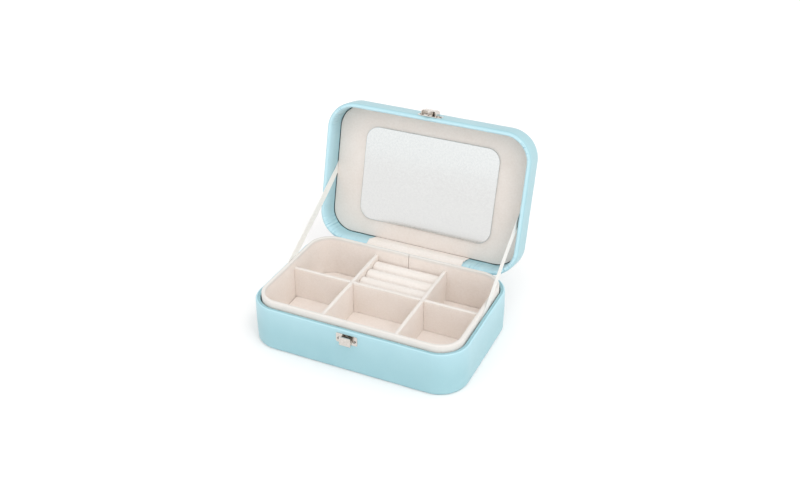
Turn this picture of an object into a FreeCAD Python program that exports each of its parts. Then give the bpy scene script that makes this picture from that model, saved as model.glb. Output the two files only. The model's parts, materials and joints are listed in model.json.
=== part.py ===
"""Travel jewelry case: a padded leather box with a velvet tray and a mirror lid, standing open.

Millimetres. The origin is the centre of the base's resting face: +X is the case's right,
+Y its back and +Z up, and the clasp is on the -Y side. Lid pieces are drawn shut, where
they are upright, and are then swung open about the leather hinge by OPEN_ANGLE.
"""

import FreeCAD, Part
import math
import os

V = FreeCAD.Vector
X_AXIS, Y_AXIS = V(1, 0, 0), V(0, 1, 0)

# ---- driving dimensions -------------------------------------------------------------
CASE_LENGTH, CASE_WIDTH = 165.0, 110.0
BASE_HEIGHT, LID_HEIGHT = 34.0, 22.0
CORNER_R = 22.0
WALL = 3.5                      # base wall, leather on both faces
LID_WALL = 3.6
RIM_GAP = 0.3                   # between the two rims when shut
RIM_R, RIM_INNER_R = 2.8, 0.5   # the leather rim's outer and inner rounding
FOOT_R, CROWN_R = 2.0, 5.0

LEATHER, TURNED_IN = 1.0, 0.7   # outer leather, and leather turned in over a rim
TURN_IN_DEPTH = 16.0
BOARD_FLOOR = 2.0
LID_BOARD, LID_FOAM = 1.8, 1.7
LID_BOARD_R, FOAM_INSET = 1.5, 1.6
SHEET_INSET = 3.5               # turned-under leather outside the bottom sheet
SHEET_R = 18.5

TRAY_GAP, TRAY_WALL = 0.8, 2.8
TRAY_TOP = 38.5
TRAY_FLOOR_TOP = 6.5
TRAY_EDGE_R = 1.3
TRAY_SEAM_X, TRAY_SEAM = 0.3, 0.4
DIVIDER, DIVIDER_TOP = 2.5, 32.2
LONG_DIVIDER_Y = 5.5
SHORT_DIVIDER_X = (-26.7, 30.5)
LAP_PLAY = 0.1
ROLL_R, ROLL_PITCH, ROLL_TOP, ROLL_END_R = 5.85, 11.8, 29.6, 0.8
BACK_ROLL_Y = 41.2
FIT = 0.2                       # slack round loose card and velvet pieces

PANEL_DEPTH, PANEL = 16.2, 1.3
MIRROR_LENGTH, MIRROR_WIDTH, MIRROR = 110.0, 74.5, 1.2
MIRROR_R, MIRROR_BEVEL = 10.5, 0.3

OPEN_ANGLE = 104.0
HINGE_INSET, HINGE_DROP = 0.4, 1.2      # from the back face, and below the base's rim
STRIP_X, STRIP = (-39.5, 40.5), 0.5     # velvet hinge strip inside
HINGE_LENGTH, HINGE_LEATHER = 120.0, 0.6
HINGE_LOW, HINGE_HIGH = 20.0, 46.0      # the leather hinge's two edges, with the lid shut

RIBBON_WIDTH, RIBBON = 6.5, 0.35
RIBBON_BASE_Y = {"left": 1.0, "right": 5.5}     # where each leaves the base, at the rim
RIBBON_LID_Y = {"left": 1.4, "right": -2.3}     # where each meets the lid's panel
RIBBON_TUCK_Z = 25.0

SHEET_METAL = 0.5
PLATE_LENGTH, PLATE_Z, PLATE_R = 16.4, (24.0, 31.5), 1.0
PIN_R, PIN_Y, PIN_Z = 0.4, -56.9, 26.6
RUNNING_PLAY = 0.05
LEVER_HALF, LEVER_Y, LEVER_Z = 4.4, -58.5, (24.0, 30.6)
LIP_HALF, LIP_DEPTH, LIP_HEIGHT = 3.4, 0.9, 0.6
CHEEK = [(-58.0, 24.8), (-56.3, 25.4), (-56.0, 28.2), (-58.0, 29.8)]    # y, z
EAR_X, EAR_Y, EAR_Z = (3.2, 3.7), -57.5, (25.2, 28.0)
SPRING_R, SPRING_HALF, SPRING_WIRE = 0.95, 2.8, 0.3
SPRING_FRONT_LEG_Z, SPRING_BACK_LEG_Z = 24.4, 27.1
NAIL_HEAD_R, NAIL_DOME, NAIL_SHANK_R, NAIL_LENGTH = 0.9, 0.6, 0.4, 3.1
BASE_NAILS = [(-6.3, 27.2), (6.3, 27.2), (0.0, 30.2)]   # x, z
CATCH_HALF, CATCH_Z, CATCH_R = 9.5, (36.0, 42.8), 1.2
HOUSING_HALF, HOUSING_Y, HOUSING_Z, HOUSING_R = 6.2, -60.0, (34.8, 42.0), 2.0
HOOK_HALF, HOOK_Y, HOOK_LOW = 1.55, (-57.35, -56.75), 29.2
HOOK_ROOT_Z = (37.0, 39.8)
BARB, BARB_HEIGHT = 0.5, 0.6
CATCH_NAILS = [(-7.9, 39.5), (7.9, 39.5)]

# ---- worked out from them -----------------------------------------------------------
HALF_X, HALF_Y = CASE_LENGTH / 2, CASE_WIDTH / 2
LID_LOW = BASE_HEIGHT + RIM_GAP
LID_HIGH = LID_LOW + LID_HEIGHT
PANEL_Z = LID_LOW + PANEL_DEPTH
LID_BOARD_Z = PANEL_Z + PANEL
FOAM_Z = LID_BOARD_Z + LID_BOARD
BOARD_TOP = LEATHER + BOARD_FLOOR
HINGE_Y, HINGE_Z = HALF_Y - HINGE_INSET, BASE_HEIGHT - HINGE_DROP
TRAY_OUT = WALL + TRAY_GAP
TRAY_IN = TRAY_OUT + TRAY_WALL
LAP_Z = (TRAY_FLOOR_TOP + DIVIDER_TOP) / 2
METAL_FACE = -HALF_Y - SHEET_METAL      # the outer face of both clasp plates
PAST = 100.0                            # how far a cutting box reaches beyond the case
TINY = 1e-4


def box(x, y, z):
    """A box from (low, high) pairs."""
    size = [high - low for low, high in (x, y, z)]
    return Part.makeBox(*size, V(x[0], y[0], z[0]))


def rounded_block(inset, z_low, z_high):
    """The case's outline pulled in by inset, as an upright block."""
    half_x, half_y = HALF_X - inset, HALF_Y - inset
    block = box((-half_x, half_x), (-half_y, half_y), (z_low, z_high))
    return round_upright(block, CORNER_R - inset)


def round_upright(block, radius):
    height = block.BoundBox.ZLength
    corners = [e for e in block.Edges if abs(e.BoundBox.ZLength - height) < TINY]
    return block.makeFillet(radius, corners)


def edges_at(shape, z, inset=None):
    """The edges lying flat at height z, or only those inside the outline pulled in by inset."""
    found = []
    for edge in shape.Edges:
        bounds = edge.BoundBox
        flat = abs(bounds.ZMin - z) < TINY and abs(bounds.ZMax - z) < TINY
        inside = inset is None or (
            bounds.XMax < HALF_X - inset + TINY
            and bounds.XMin > inset - HALF_X - TINY
            and bounds.YMax < HALF_Y - inset + TINY
            and bounds.YMin > inset - HALF_Y - TINY
        )
        if flat and inside:
            found.append(edge)
    return found


def round_at(shape, z, radius, inset=None):
    return shape.makeFillet(radius, edges_at(shape, z, inset))


def prism(points, x_low, x_high):
    """A solid from an outline of (y, z) points, running along X."""
    corners = [V(x_low, y, z) for y, z in points]
    face = Part.Face(Part.makePolygon(corners + corners[:1]))
    return face.extrude(V(x_high - x_low, 0, 0))


def swung(shape):
    """A lid piece drawn shut, turned to where it stands open."""
    moved = shape.copy()
    moved.rotate(V(0, HINGE_Y, HINGE_Z), X_AXIS, -OPEN_ANGLE)
    return moved


def swung_point(y, z):
    turn = math.radians(-OPEN_ANGLE)
    along, up = y - HINGE_Y, z - HINGE_Z
    return (
        HINGE_Y + along * math.cos(turn) - up * math.sin(turn),
        HINGE_Z + along * math.sin(turn) + up * math.cos(turn),
    )


def thick_line(points, thickness):
    """The outline of a strip of that thickness centred on a bent line of (y, z) points."""
    left, right = [], []
    for i, (y, z) in enumerate(points):
        y0, z0 = points[max(i - 1, 0)]
        y1, z1 = points[min(i + 1, len(points) - 1)]
        before = math.atan2(z - z0, y - y0) if i else math.atan2(z1 - z, y1 - y)
        after = math.atan2(z1 - z, y1 - y) if i < len(points) - 1 else before
        middle = (before + after) / 2 + math.pi / 2
        reach = thickness / 2 / math.cos((after - before) / 2)
        dy, dz = reach * math.cos(middle), reach * math.sin(middle)
        left.append((y + dy, z + dz))
        right.append((y - dy, z - dz))
    return left + right[::-1]


# ---- clasp nails come first, because the leather and board are drilled for them ----------
def nails(places):
    """Domed nails driven along +Y, their heads on the clasp plates' outer face."""
    solids = []
    for x, z in places:
        shank = Part.makeCylinder(NAIL_SHANK_R, NAIL_LENGTH, V(x, METAL_FACE, z), Y_AXIS)
        ball = Part.makeSphere(NAIL_HEAD_R, V(x, METAL_FACE, z))
        wide = [(v - NAIL_HEAD_R, v + NAIL_HEAD_R) for v in (x, z)]
        dome = ball.common(box(wide[0], (METAL_FACE - NAIL_DOME, METAL_FACE), wide[1]))
        solids.append(shank.fuse(dome).removeSplitter())
    return Part.makeCompound(solids)


def shank_holes(places):
    return [
        Part.makeCylinder(NAIL_SHANK_R, NAIL_LENGTH, V(x, METAL_FACE, z), Y_AXIS)
        for x, z in places
    ]


# ---- base ------------------------------------------------------------------------------
def base_board():
    top = BASE_HEIGHT - LEATHER
    shell = rounded_block(LEATHER, LEATHER, top)
    shell = round_at(shell, top, RIM_R - LEATHER)
    shell = round_at(shell, LEATHER, FOOT_R - LEATHER)
    shell = shell.cut(rounded_block(WALL - TURNED_IN, BOARD_TOP, top + 1))
    return shell.cut(shank_holes(BASE_NAILS))


def bottom_sheet(slack=0.0):
    half_x, half_y = HALF_X - SHEET_INSET - slack, HALF_Y - SHEET_INSET - slack
    sheet = box((-half_x, half_x), (-half_y, half_y), (0, LEATHER))
    return round_upright(sheet, SHEET_R - slack)


def base_cover():
    """Leather over the outside, the rim and the top of the inside, turned under the floor."""
    skin = rounded_block(0, 0, BASE_HEIGHT)
    skin = round_at(skin, BASE_HEIGHT, RIM_R)
    skin = round_at(skin, 0, FOOT_R)
    skin = skin.cut(rounded_block(WALL, BOARD_TOP, BASE_HEIGHT + 1))
    skin = round_at(skin, BASE_HEIGHT, RIM_INNER_R, WALL)
    skin = skin.cut(rounded_block(WALL - TURNED_IN, BOARD_TOP, BASE_HEIGHT - TURN_IN_DEPTH))
    skin = skin.cut([base_board(), bottom_sheet()])
    return skin.cut(shank_holes(BASE_NAILS))


def tray_wall():
    """A velvet-covered card strip bent into a ring, its ends butted at the back."""
    ring = rounded_block(TRAY_OUT, BOARD_TOP, TRAY_TOP)
    ring = ring.cut(rounded_block(TRAY_IN, BOARD_TOP, TRAY_TOP))
    ring = round_at(ring, TRAY_TOP, TRAY_EDGE_R)
    seam = (TRAY_SEAM_X - TRAY_SEAM / 2, TRAY_SEAM_X + TRAY_SEAM / 2)
    return ring.cut(box(seam, (0, HALF_Y), (0, TRAY_TOP + 1)))


def tray_floor():
    return rounded_block(TRAY_IN + FIT, BOARD_TOP, TRAY_FLOOR_TOP)


def divider(x, y):
    """A velvet-covered card with a rounded top edge."""
    wall = box(x, y, (TRAY_FLOOR_TOP, DIVIDER_TOP))
    along_x = x[1] - x[0] > y[1] - y[0]
    top = [
        e
        for e in edges_at(wall, DIVIDER_TOP)
        if (e.BoundBox.XLength if along_x else e.BoundBox.YLength) > DIVIDER + 1
    ]
    return wall.makeFillet(DIVIDER / 2 - 0.05, top)


def lap_slot(x, z):
    """Where a short divider crosses the long one."""
    half = DIVIDER / 2 + LAP_PLAY
    middle = LONG_DIVIDER_Y
    return box((x - half, x + half), (middle - half, middle + half), z)


def long_divider():
    half_x = HALF_X - TRAY_IN - FIT / 2
    y = (LONG_DIVIDER_Y - DIVIDER / 2, LONG_DIVIDER_Y + DIVIDER / 2)
    slots = [lap_slot(x, (LAP_Z, DIVIDER_TOP + 1)) for x in SHORT_DIVIDER_X]
    return divider((-half_x, half_x), y).cut(slots)


def short_divider(x):
    half_y = HALF_Y - TRAY_IN - FIT / 2
    wall = divider((x - DIVIDER / 2, x + DIVIDER / 2), (-half_y, half_y))
    return wall.cut(lap_slot(x, (0, LAP_Z)))


def roll_span():
    left, right = SHORT_DIVIDER_X
    return left + DIVIDER / 2 + FIT, right - DIVIDER / 2 - FIT


def ring_roll(number):
    """A foam roll in velvet; number 0 is the front one of three."""
    low, high = roll_span()
    y = BACK_ROLL_Y - (2 - number) * ROLL_PITCH
    roll = Part.makeCylinder(ROLL_R, high - low, V(low, y, ROLL_TOP - ROLL_R), X_AXIS)
    return roll.makeFillet(ROLL_END_R, [e for e in roll.Edges if e.BoundBox.XLength < TINY])


def ring_pad_base():
    """The card block that the three rolls are glued to."""
    front = BACK_ROLL_Y - 2 * ROLL_PITCH - ROLL_R
    back = HALF_Y - TRAY_IN - FIT
    return box(roll_span(), (front, back), (TRAY_FLOOR_TOP, ROLL_TOP - 2 * ROLL_R))


# ---- lid, drawn shut ---------------------------------------------------------------------
def lid_board():
    low = LID_LOW + LEATHER
    shell = rounded_block(LEATHER, low, FOAM_Z)
    shell = round_at(shell, low, RIM_R - LEATHER)
    shell = round_at(shell, FOAM_Z, LID_BOARD_R)
    shell = shell.cut(rounded_block(LID_WALL - TURNED_IN, low - 1, LID_BOARD_Z))
    return shell.cut(shank_holes(CATCH_NAILS))


def lid_padding():
    foam = rounded_block(LEATHER + FOAM_INSET, FOAM_Z, FOAM_Z + LID_FOAM)
    return round_at(foam, FOAM_Z + LID_FOAM, LID_FOAM - 0.1)


def lid_cover():
    """Leather over the padded top, the sides and the rim, turned in down to the panel."""
    skin = rounded_block(0, LID_LOW, LID_HIGH)
    skin = round_at(skin, LID_LOW, RIM_R)
    skin = round_at(skin, LID_HIGH, CROWN_R)
    skin = skin.cut(rounded_block(LID_WALL, LID_LOW - 1, LID_BOARD_Z))
    skin = round_at(skin, LID_LOW, RIM_INNER_R, LID_WALL)
    skin = skin.cut([lid_board(), lid_padding()])
    return skin.cut(shank_holes(CATCH_NAILS))


def lid_panel():
    return rounded_block(LID_WALL + TRAY_GAP, PANEL_Z, LID_BOARD_Z)


def mirror():
    half_x, half_y = MIRROR_LENGTH / 2, MIRROR_WIDTH / 2
    glass = box((-half_x, half_x), (-half_y, half_y), (PANEL_Z - MIRROR, PANEL_Z))
    return round_at(round_upright(glass, MIRROR_R), PANEL_Z - MIRROR, MIRROR_BEVEL)


# ---- what joins lid and base -------------------------------------------------------------
def hinge_strip():
    """Velvet from behind the tray, over both rims, to the lid's panel."""
    base_y = HALF_Y - WALL - TRAY_GAP / 2
    lid_y = HALF_Y - LID_WALL - TRAY_GAP / 2
    line = [
        (base_y, BASE_HEIGHT - 10),
        (base_y, BASE_HEIGHT - 0.2),
        (base_y + 0.8, BASE_HEIGHT + 1.0),
        (HALF_Y - 1.2, BASE_HEIGHT + 1.9),
        swung_point(lid_y - 0.2, LID_LOW - 0.6),
        swung_point(lid_y, LID_LOW + 0.4),
        swung_point(lid_y, LID_BOARD_Z - 0.2),
    ]
    return prism(thick_line(line, STRIP), *STRIP_X)


def hinge_leather():
    """The outer leather hinge, glued down both back faces and creased between them."""
    outer = HALF_Y + HINGE_LEATHER
    lid_in = [swung_point(HALF_Y, z) for z in (LID_LOW, HINGE_HIGH)]
    lid_out = [swung_point(outer, z) for z in (LID_LOW, HINGE_HIGH)]

    def height_at(line, y):
        (y0, z0), (y1, z1) = line
        return z0 + (z1 - z0) * (y - y0) / (y1 - y0)

    outline = [
        (HALF_Y, HINGE_LOW),
        (HALF_Y, height_at(lid_in, HALF_Y)),
        lid_in[1],
        lid_out[1],
        (outer, height_at(lid_out, outer)),
        (outer, HINGE_LOW),
    ]
    return prism(outline, -HINGE_LENGTH / 2, HINGE_LENGTH / 2)


def ribbon(side):
    """A flat stay from the gap round the tray to the gap round the lid's panel."""
    sign = -1 if side == "left" else 1
    middle_x = sign * (HALF_X - WALL - TRAY_GAP / 2 - 0.05)
    y0, z0 = RIBBON_BASE_Y[side], BASE_HEIGHT
    y1, z1 = swung_point(RIBBON_LID_Y[side], PANEL_Z)
    length = math.hypot(y1 - y0, z1 - z0)
    dy, dz = (y1 - y0) / length, (z1 - z0) / length
    half = RIBBON_WIDTH / 2
    ends = [(y0 - dy * PAST, z0 - dz * PAST), (y1 + dy * PAST, z1 + dz * PAST)]
    outline = [(y - dz * half, z + dy * half) for y, z in ends]
    outline += [(y + dz * half, z - dy * half) for y, z in reversed(ends)]
    band = prism(outline, middle_x - RIBBON / 2, middle_x + RIBBON / 2)
    wide = (-HALF_X - PAST, HALF_X + PAST)
    in_base = box(wide, wide, (RIBBON_TUCK_Z, LID_HIGH + PAST))
    in_lid = swung(box(wide, wide, (-PAST, LID_BOARD_Z - FIT)))
    return band.common(in_base).common(in_lid)


# ---- clasp -------------------------------------------------------------------------------
def along_x(radius, half, y, z):
    return Part.makeCylinder(radius, 2 * half, V(-half, y, z), X_AXIS)


def flat_plate(half_x, z, corner_r):
    """Sheet metal on the case's front face, its four corners rounded."""
    plate = box((-half_x, half_x), (METAL_FACE, -HALF_Y), z)
    corners = [
        e for e in plate.Edges if e.BoundBox.YLength > TINY and e.BoundBox.XLength < TINY
        and e.BoundBox.ZLength < TINY
    ]
    return plate.makeFillet(corner_r, corners)


def clasp_plate():
    """A stamped plate with two ears that hold the pin."""
    plate = flat_plate(PLATE_LENGTH / 2, PLATE_Z, PLATE_R)
    for low, high in (EAR_X, [-x for x in reversed(EAR_X)]):
        plate = plate.fuse(box((low, high), (EAR_Y, METAL_FACE), EAR_Z))
    pin_hole = along_x(PIN_R, LEVER_HALF, PIN_Y, PIN_Z)
    return plate.removeSplitter().cut([pin_hole] + shank_holes(BASE_NAILS))


def clasp_lever():
    """The press lever: a front plate with two cheeks on the pin and a lip along its top."""
    high = LEVER_Z[1]
    front = box((-LEVER_HALF, LEVER_HALF), (LEVER_Y, LEVER_Y + SHEET_METAL), LEVER_Z)
    lip = box((-LIP_HALF, LIP_HALF), (LEVER_Y, LEVER_Y + LIP_DEPTH), (high - LIP_HEIGHT, high))
    inner = LEVER_HALF - SHEET_METAL
    cheeks = [prism(CHEEK, -LEVER_HALF, -inner), prism(CHEEK, inner, LEVER_HALF)]
    lever = front.fuse([lip] + cheeks).removeSplitter()
    return lever.cut(along_x(PIN_R + RUNNING_PLAY, LEVER_HALF + 1, PIN_Y, PIN_Z))


def clasp_pin():
    return along_x(PIN_R, LEVER_HALF + 0.1, PIN_Y, PIN_Z)


def clasp_spring():
    """The torsion spring's coil round the pin, and its two legs."""
    coil = along_x(SPRING_R, SPRING_HALF, PIN_Y, PIN_Z)
    coil = coil.cut(along_x(PIN_R + RUNNING_PLAY, SPRING_HALF + 1, PIN_Y, PIN_Z))
    front, back = PIN_Y - SPRING_R, PIN_Y + PIN_R + SPRING_WIRE
    leg = SPRING_HALF - SPRING_WIRE
    back_z = (SPRING_BACK_LEG_Z, SPRING_BACK_LEG_Z + SPRING_WIRE)
    legs = [
        box((-SPRING_HALF, -leg), (front, front + SPRING_WIRE), (SPRING_FRONT_LEG_Z, PIN_Z)),
        box((leg, SPRING_HALF), (back, METAL_FACE - RUNNING_PLAY), back_z),
    ]
    return coil.fuse(legs).removeSplitter()


def arch(shrink):
    """The catch housing's outline pulled in by shrink: a block with its outer edges rounded."""
    half, front, top = HOUSING_HALF - shrink, HOUSING_Y + shrink, HOUSING_Z[1] - shrink
    block = box((-half, half), (front, -HALF_Y), (HOUSING_Z[0], top))
    outer = [
        e
        for e in block.Edges
        if e.BoundBox.YMax < front + TINY and e.BoundBox.ZMax > top - TINY
    ]
    return block.makeFillet(HOUSING_R - shrink, outer)


def catch_plate():
    """A plate on the lid's front face with a raised housing, open below."""
    plate = flat_plate(CATCH_HALF, CATCH_Z, CATCH_R)
    room = arch(SHEET_METAL)
    in_front = box((-PAST, PAST), (-HALF_Y - PAST, METAL_FACE), (0, PAST))
    plate = plate.fuse(arch(0).cut(room)).removeSplitter()
    return plate.cut([room.common(in_front)] + shank_holes(CATCH_NAILS))


def catch_hook():
    """A strip riveted in the housing, with a barb that the lever's lip holds."""
    x = (-HOOK_HALF, HOOK_HALF)
    root = box(x, (HOUSING_Y + SHEET_METAL, METAL_FACE), HOOK_ROOT_Z)
    arm = box(x, HOOK_Y, (HOOK_LOW, HOOK_ROOT_Z[0]))
    barb = [
        (HOOK_Y[0] - BARB, HOOK_LOW + BARB_HEIGHT),
        (HOOK_Y[0], HOOK_LOW + BARB_HEIGHT),
        (HOOK_Y[0], HOOK_LOW),
    ]
    return root.fuse([arm, prism(barb, *x)]).removeSplitter()


def build():
    rolls = {f"ring_roll_{n}": ring_roll(i) for i, n in enumerate(("front", "middle", "back"))}
    still = {
        "base_board": base_board(),
        "base_cover": base_cover(),
        "base_bottom_sheet": bottom_sheet(FIT),
        "tray_wall": tray_wall(),
        "tray_floor": tray_floor(),
        "long_divider": long_divider(),
        "left_divider": short_divider(SHORT_DIVIDER_X[0]),
        "right_divider": short_divider(SHORT_DIVIDER_X[1]),
        "ring_pad_base": ring_pad_base(),
        **rolls,
        "hinge_strip": hinge_strip(),
        "hinge_leather": hinge_leather(),
        "ribbon_left": ribbon("left"),
        "ribbon_right": ribbon("right"),
        "clasp_plate": clasp_plate(),
        "clasp_lever": clasp_lever(),
        "clasp_pin": clasp_pin(),
        "clasp_spring": clasp_spring(),
        "clasp_nails": nails(BASE_NAILS),
    }
    lid = {
        "lid_board": lid_board(),
        "lid_padding": lid_padding(),
        "lid_cover": lid_cover(),
        "lid_panel": lid_panel(),
        "mirror": mirror(),
        "catch_plate": catch_plate(),
        "catch_hook": catch_hook(),
        "catch_nails": nails(CATCH_NAILS),
    }
    return {**still, **{name: swung(shape) for name, shape in lid.items()}}


os.makedirs("parts", exist_ok=True)
for name, shape in build().items():
    bounds = shape.BoundBox
    print(
        f"{name}: solids {len(shape.Solids)} valid {shape.isValid()} volume {shape.Volume:.1f}"
        f" x {bounds.XMin:.1f}..{bounds.XMax:.1f} y {bounds.YMin:.1f}..{bounds.YMax:.1f}"
        f" z {bounds.ZMin:.1f}..{bounds.ZMax:.1f}"
    )
    shape.exportStep(f"parts/{name}.step")
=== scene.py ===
"""The looks of a travel jewelry case: leather, velvet, ribbon, mirror and nickel on its frame.

Sizes are in millimetres and are turned into metres as each mesh is made. Lid pieces are drawn
shut, where they are upright, and swung open about the hinge's axis as the CAD model is.
"""

import json
import math

import bmesh
import bpy
from mathutils import Matrix, Vector, noise


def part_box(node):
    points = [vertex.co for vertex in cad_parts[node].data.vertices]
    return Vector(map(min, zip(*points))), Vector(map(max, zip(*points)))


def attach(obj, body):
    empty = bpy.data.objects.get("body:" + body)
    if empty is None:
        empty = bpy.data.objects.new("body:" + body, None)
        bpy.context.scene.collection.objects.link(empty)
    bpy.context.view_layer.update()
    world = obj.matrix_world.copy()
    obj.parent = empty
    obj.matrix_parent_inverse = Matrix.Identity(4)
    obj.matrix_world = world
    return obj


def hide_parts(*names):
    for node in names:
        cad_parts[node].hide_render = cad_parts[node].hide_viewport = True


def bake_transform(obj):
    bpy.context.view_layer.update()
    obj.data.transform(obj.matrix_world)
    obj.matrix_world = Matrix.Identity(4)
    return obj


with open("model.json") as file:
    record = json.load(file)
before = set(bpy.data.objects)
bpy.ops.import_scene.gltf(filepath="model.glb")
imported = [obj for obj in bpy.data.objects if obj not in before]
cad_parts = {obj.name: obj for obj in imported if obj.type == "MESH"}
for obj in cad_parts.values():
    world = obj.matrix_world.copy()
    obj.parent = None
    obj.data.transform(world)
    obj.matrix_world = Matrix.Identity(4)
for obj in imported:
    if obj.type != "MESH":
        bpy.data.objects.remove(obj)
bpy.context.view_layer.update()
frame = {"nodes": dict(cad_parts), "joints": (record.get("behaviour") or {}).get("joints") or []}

# ---- sizes, from the frame ---------------------------------------------------------------
MM = 0.001


def box_mm(node):
    """The low and the high corner of a CAD node's box."""
    return [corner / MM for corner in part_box(node)]


joints = {joint["name"]: joint for joint in frame["joints"]}
HINGE = Vector(joints["lid_hinge"]["pos_m"]) / MM
OPEN = math.radians(joints["lid_hinge"]["range_deg"][1])
SWING = Matrix.Translation(HINGE) @ Matrix.Rotation(-OPEN, 4, "X") @ Matrix.Translation(-HINGE)

HALF_X, HALF_Y, RIM_Z = box_mm("base_cover")[1]
FLOOR_Z = box_mm("tray_floor")[1].z
TRAY_TOP = box_mm("tray_wall")[1].z
DIVIDER_TOP = box_mm("long_divider")[1].z
CORNER_R = 22.0
WALL, LID_WALL = 3.5, 3.6             # board with its leather on both sides
LEATHER = 0.8
SIDE_SWELL = 0.35                     # how far the leather of the base's sides swells out
FOOT_R, RIM_R, RIM_INNER_R = 2.2, 1.1, 0.9
TURN_UNDER, TURN_IN = HALF_X - box_mm("base_bottom_sheet")[1].x - 0.2, 16.0
TRAY_OUT = HALF_X - box_mm("tray_wall")[1].x
TRAY_WALL = 2.8
SEAM_X, SEAM_HALF = 0.3, 0.2          # the middle and half the width of the tray wall's seam
LID_LOW, LID_HIGH = RIM_Z + 0.3, RIM_Z + 22.3
LID_RIM_R, LID_CREST, CROWN_R = 2.0, 2.2, 5.0
PANEL_DEPTH, PANEL = 16.2, 1.3        # how deep in the lid the panel lies, and its thickness
PANEL_Z = LID_LOW + PANEL_DEPTH
PANEL_INSET = LID_WALL + 0.55
BOARD_INSET, BOARD_COVER = 2.9, 1.0   # where the rim of the lid's board has its inner corner
BOARD_GAP = 0.12
DIVIDER, DIVIDER_GAP = 2.5, 0.12      # the thickness, and the shadow gap over the floor
LONG_Y = sum(c.y for c in box_mm("long_divider")) / 2
SHORT_X = [sum(c.x for c in box_mm(f"{side}_divider")) / 2 for side in ("left", "right")]
LAP_PLAY = 0.1                        # the play where two dividers cross
LAP_Z = (FLOOR_Z + DIVIDER_TOP) / 2


# ---- camera ------------------------------------------------------------------------------
CAMERA_AT = (0.2692, -0.5536, 0.4424)
CAMERA_LOOKS = Vector((-0.3567, 0.7772, -0.5183))
LENS, SENSOR = 45.53, 36


def make_camera():
    data = bpy.data.cameras.new("camera")
    data.lens, data.sensor_width = LENS, SENSOR
    data.clip_start, data.clip_end = 0.01, 50
    camera = bpy.data.objects.new("camera", data)
    bpy.context.scene.collection.objects.link(camera)
    camera.location = CAMERA_AT
    camera.rotation_mode = "QUATERNION"
    camera.rotation_quaternion = CAMERA_LOOKS.to_track_quat("-Z", "Y")
    bpy.context.scene.camera = camera


make_camera()


# ---- mesh helpers ------------------------------------------------------------------------
def new_object(name, points, faces, sharp=40, closed=True):
    """An object in metres from points in millimetres."""
    mesh = bpy.data.meshes.new(name)
    mesh.from_pydata([tuple(Vector(p) * MM) for p in points], [], faces)
    mesh.validate()
    if closed:
        shape = bmesh.new()
        shape.from_mesh(mesh)
        bmesh.ops.recalc_face_normals(shape, faces=shape.faces)
        shape.to_mesh(mesh)
        shape.free()
    mesh.shade_smooth()
    mesh.set_sharp_from_angle(angle=math.radians(sharp))
    piece = bpy.data.objects.new(name, mesh)
    bpy.context.scene.collection.objects.link(piece)
    return piece


def grid_faces(rows, columns, wrap_rows=False, wrap_columns=False):
    """The quads of a grid of points numbered row by row."""
    faces = []
    for i in range(rows if wrap_rows else rows - 1):
        for j in range(columns if wrap_columns else columns - 1):
            a, b = i * columns, (i + 1) % rows * columns
            k = (j + 1) % columns
            faces.append((a + j, a + k, b + k, b + j))
    return faces


def fan_faces(ring, centre, flip):
    """Triangles from a closed ring of point numbers to one centre point."""
    pairs = zip(ring, ring[1:] + ring[:1])
    return [(b, a, centre) if flip else (a, b, centre) for a, b in pairs]


def settle(piece, sharp=40):
    """Puts what the piece's modifiers make in its mesh."""
    graph = bpy.context.evaluated_depsgraph_get()
    mesh = bpy.data.meshes.new_from_object(piece.evaluated_get(graph))
    piece.modifiers.clear()
    piece.data = mesh
    mesh.shade_smooth()
    mesh.set_sharp_from_angle(angle=math.radians(sharp))


def thicken(piece, thickness):
    """Turns an open skin into a closed shell, growing inwards."""
    shell = piece.modifiers.new("shell", "SOLIDIFY")
    shell.thickness = thickness * MM
    shell.offset = -1
    settle(piece)


def soft(x, y, z, size, seed=0):
    """Smooth noise from about -1 to 1 that changes over that many millimetres."""
    return noise.noise(Vector((x / size + seed * 17.3, y / size - seed * 5.1, z / size)))


def arc(centre, radius, start, end, count):
    """Points of a profile's rounding, from one angle to the other in degrees."""
    found = []
    for i in range(count + 1):
        a = math.radians(start + (end - start) * i / count)
        found.append((centre[0] + radius * math.cos(a), centre[1] + radius * math.sin(a)))
    return found


def run(a, b, step):
    """Points from a towards b, without b, at most a step apart."""
    count = max(1, math.ceil(math.dist(a, b) / step))
    shares = [i / count for i in range(count)]
    return [(a[0] + (b[0] - a[0]) * t, a[1] + (b[1] - a[1]) * t) for t in shares]


def outline(step, start_x=0.0):
    """Points round the case as (x, y, outward x, outward y), from the back's middle by the left."""
    flat_x, flat_y = HALF_X - CORNER_R, HALF_Y - CORNER_R
    found = []

    def straight(x0, y0, x1, y1, nx, ny):
        for x, y in run((x0, y0), (x1, y1), step):
            found.append((x, y, nx, ny))

    def corner(x, y, start):
        count = math.ceil(CORNER_R * math.pi / 2 / step)
        for i in range(count):
            a = math.radians(start + 90 * i / count)
            nx, ny = math.cos(a), math.sin(a)
            found.append((x + CORNER_R * nx, y + CORNER_R * ny, nx, ny))

    straight(start_x, HALF_Y, -flat_x, HALF_Y, 0, 1)
    corner(-flat_x, flat_y, 90)
    straight(-HALF_X, flat_y, -HALF_X, -flat_y, -1, 0)
    corner(-flat_x, -flat_y, 180)
    straight(-flat_x, -HALF_Y, flat_x, -HALF_Y, 0, -1)
    corner(flat_x, -flat_y, 270)
    straight(HALF_X, -flat_y, HALF_X, flat_y, 1, 0)
    corner(flat_x, flat_y, 0)
    straight(flat_x, HALF_Y, start_x, HALF_Y, 0, 1)
    return found


def bend(nx, ny):
    """1 in the middle of a corner and 0 on the straight sides."""
    return min(1.0, 2 * abs(nx * ny) * 1.15)


def mark(piece, name, values):
    """Records a number for each point, which the piece's material reads."""
    marks = piece.data.attributes.new(name, "FLOAT", "POINT")
    marks.data.foreach_set("value", values)


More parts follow.
